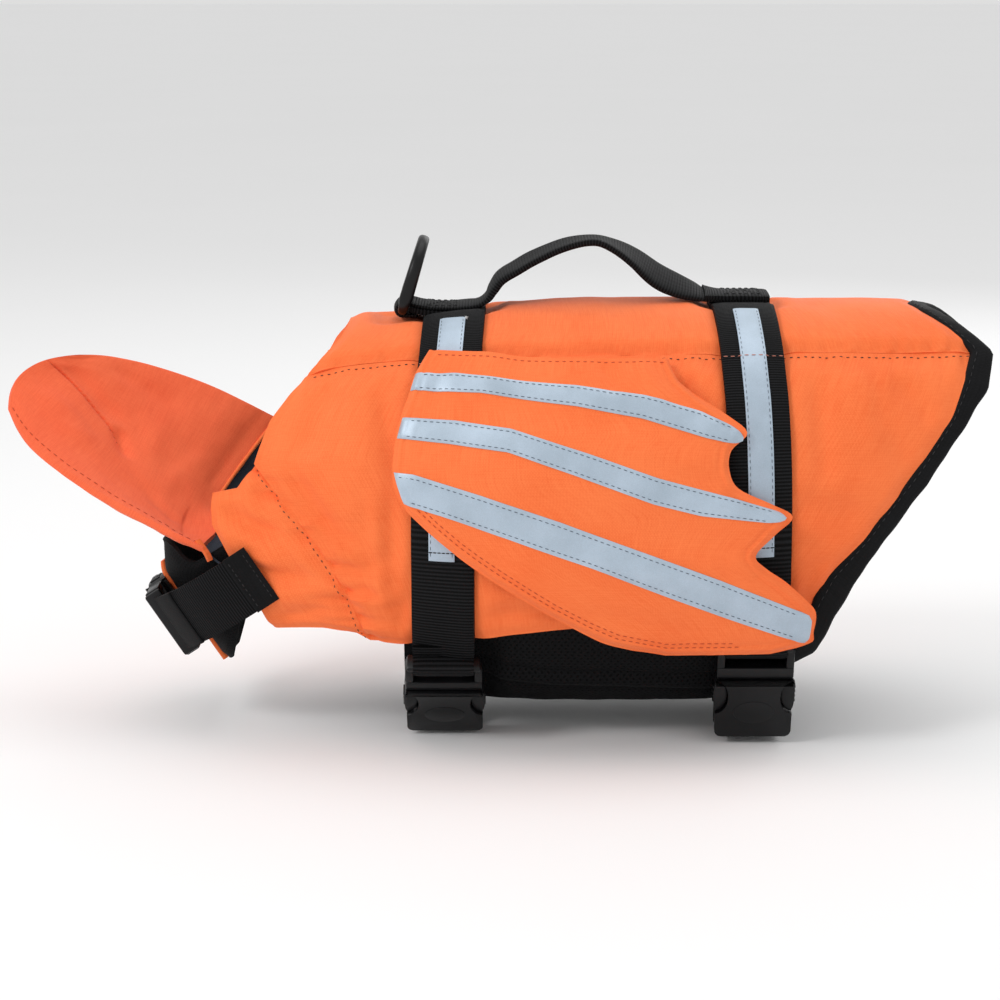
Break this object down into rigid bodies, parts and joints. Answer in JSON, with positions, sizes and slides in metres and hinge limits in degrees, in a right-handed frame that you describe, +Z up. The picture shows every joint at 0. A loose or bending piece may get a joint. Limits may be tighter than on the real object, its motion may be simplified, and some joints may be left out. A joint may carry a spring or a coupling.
{
  "type": "reflective dog vest",
  "caption": "Padded orange dog vest with side wings in reflective stripes, chin float, webbing straps with side-release buckles, back handle and D-ring",
  "frame": {"origin": "on the wearer's spine, at the lining's inner face, in the middle of the vest's length", "axes": "+X to the tail, +Y to the wearer's right side, +Z up; symmetric about Y=0 but for the buckles and the float"},
  "size_m": [0.4144, 0.178, 0.2068],
  "materials": {
    "orange_cloth": "satin",
    "dark_lining": "matte",
    "black_mesh": "matte",
    "black_webbing": "matte",
    "reflective_tape": "satin",
    "black_plastic": "satin"
  },
  "bodies": {
    "vest": {"back_panel": "orange_cloth", "side_panel_left": "orange_cloth", "side_panel_right": "orange_cloth", "chest_flap_left": "orange_cloth", "chest_flap_right": "orange_cloth", "wing_left": "orange_cloth", "wing_right": "orange_cloth", "chin_float": "orange_cloth", "lining": "dark_lining", "belly_panel": "black_mesh", "throat_pad": "black_mesh", "tail_binding": "black_webbing", "front_strap": "black_webbing", "rear_strap": "black_webbing", "front_belly_strap": "black_webbing", "rear_belly_strap": "black_webbing", "neck_strap_left": "black_webbing", "neck_strap_right": "black_webbing", "handle": "black_webbing", "front_tape_left": "reflective_tape", "front_tape_right": "reflective_tape", "rear_tape_left": "reflective_tape", "rear_tape_right": "reflective_tape", "wing_stripe_upper_left": "reflective_tape", "wing_stripe_upper_right": "reflective_tape", "wing_stripe_middle_left": "reflective_tape", "wing_stripe_middle_right": "reflective_tape", "wing_stripe_lower_left": "reflective_tape", "wing_stripe_lower_right": "reflective_tape", "front_buckle_plug": "black_plastic", "front_buckle_socket": "black_plastic", "rear_buckle_plug": "black_plastic", "rear_buckle_socket": "black_plastic", "neck_buckle_plug": "black_plastic", "neck_buckle_socket": "black_plastic"},
    "d_ring": {"d_ring": "black_plastic"}
  },
  "joints": [
    {"name": "ring_fold", "type": "hinge", "parent": "vest", "child": "d_ring", "pos_m": [-0.0843, 0, 0.0045], "axis": [0, 1, 0], "range_deg": [-106, 60]}
  ]
}
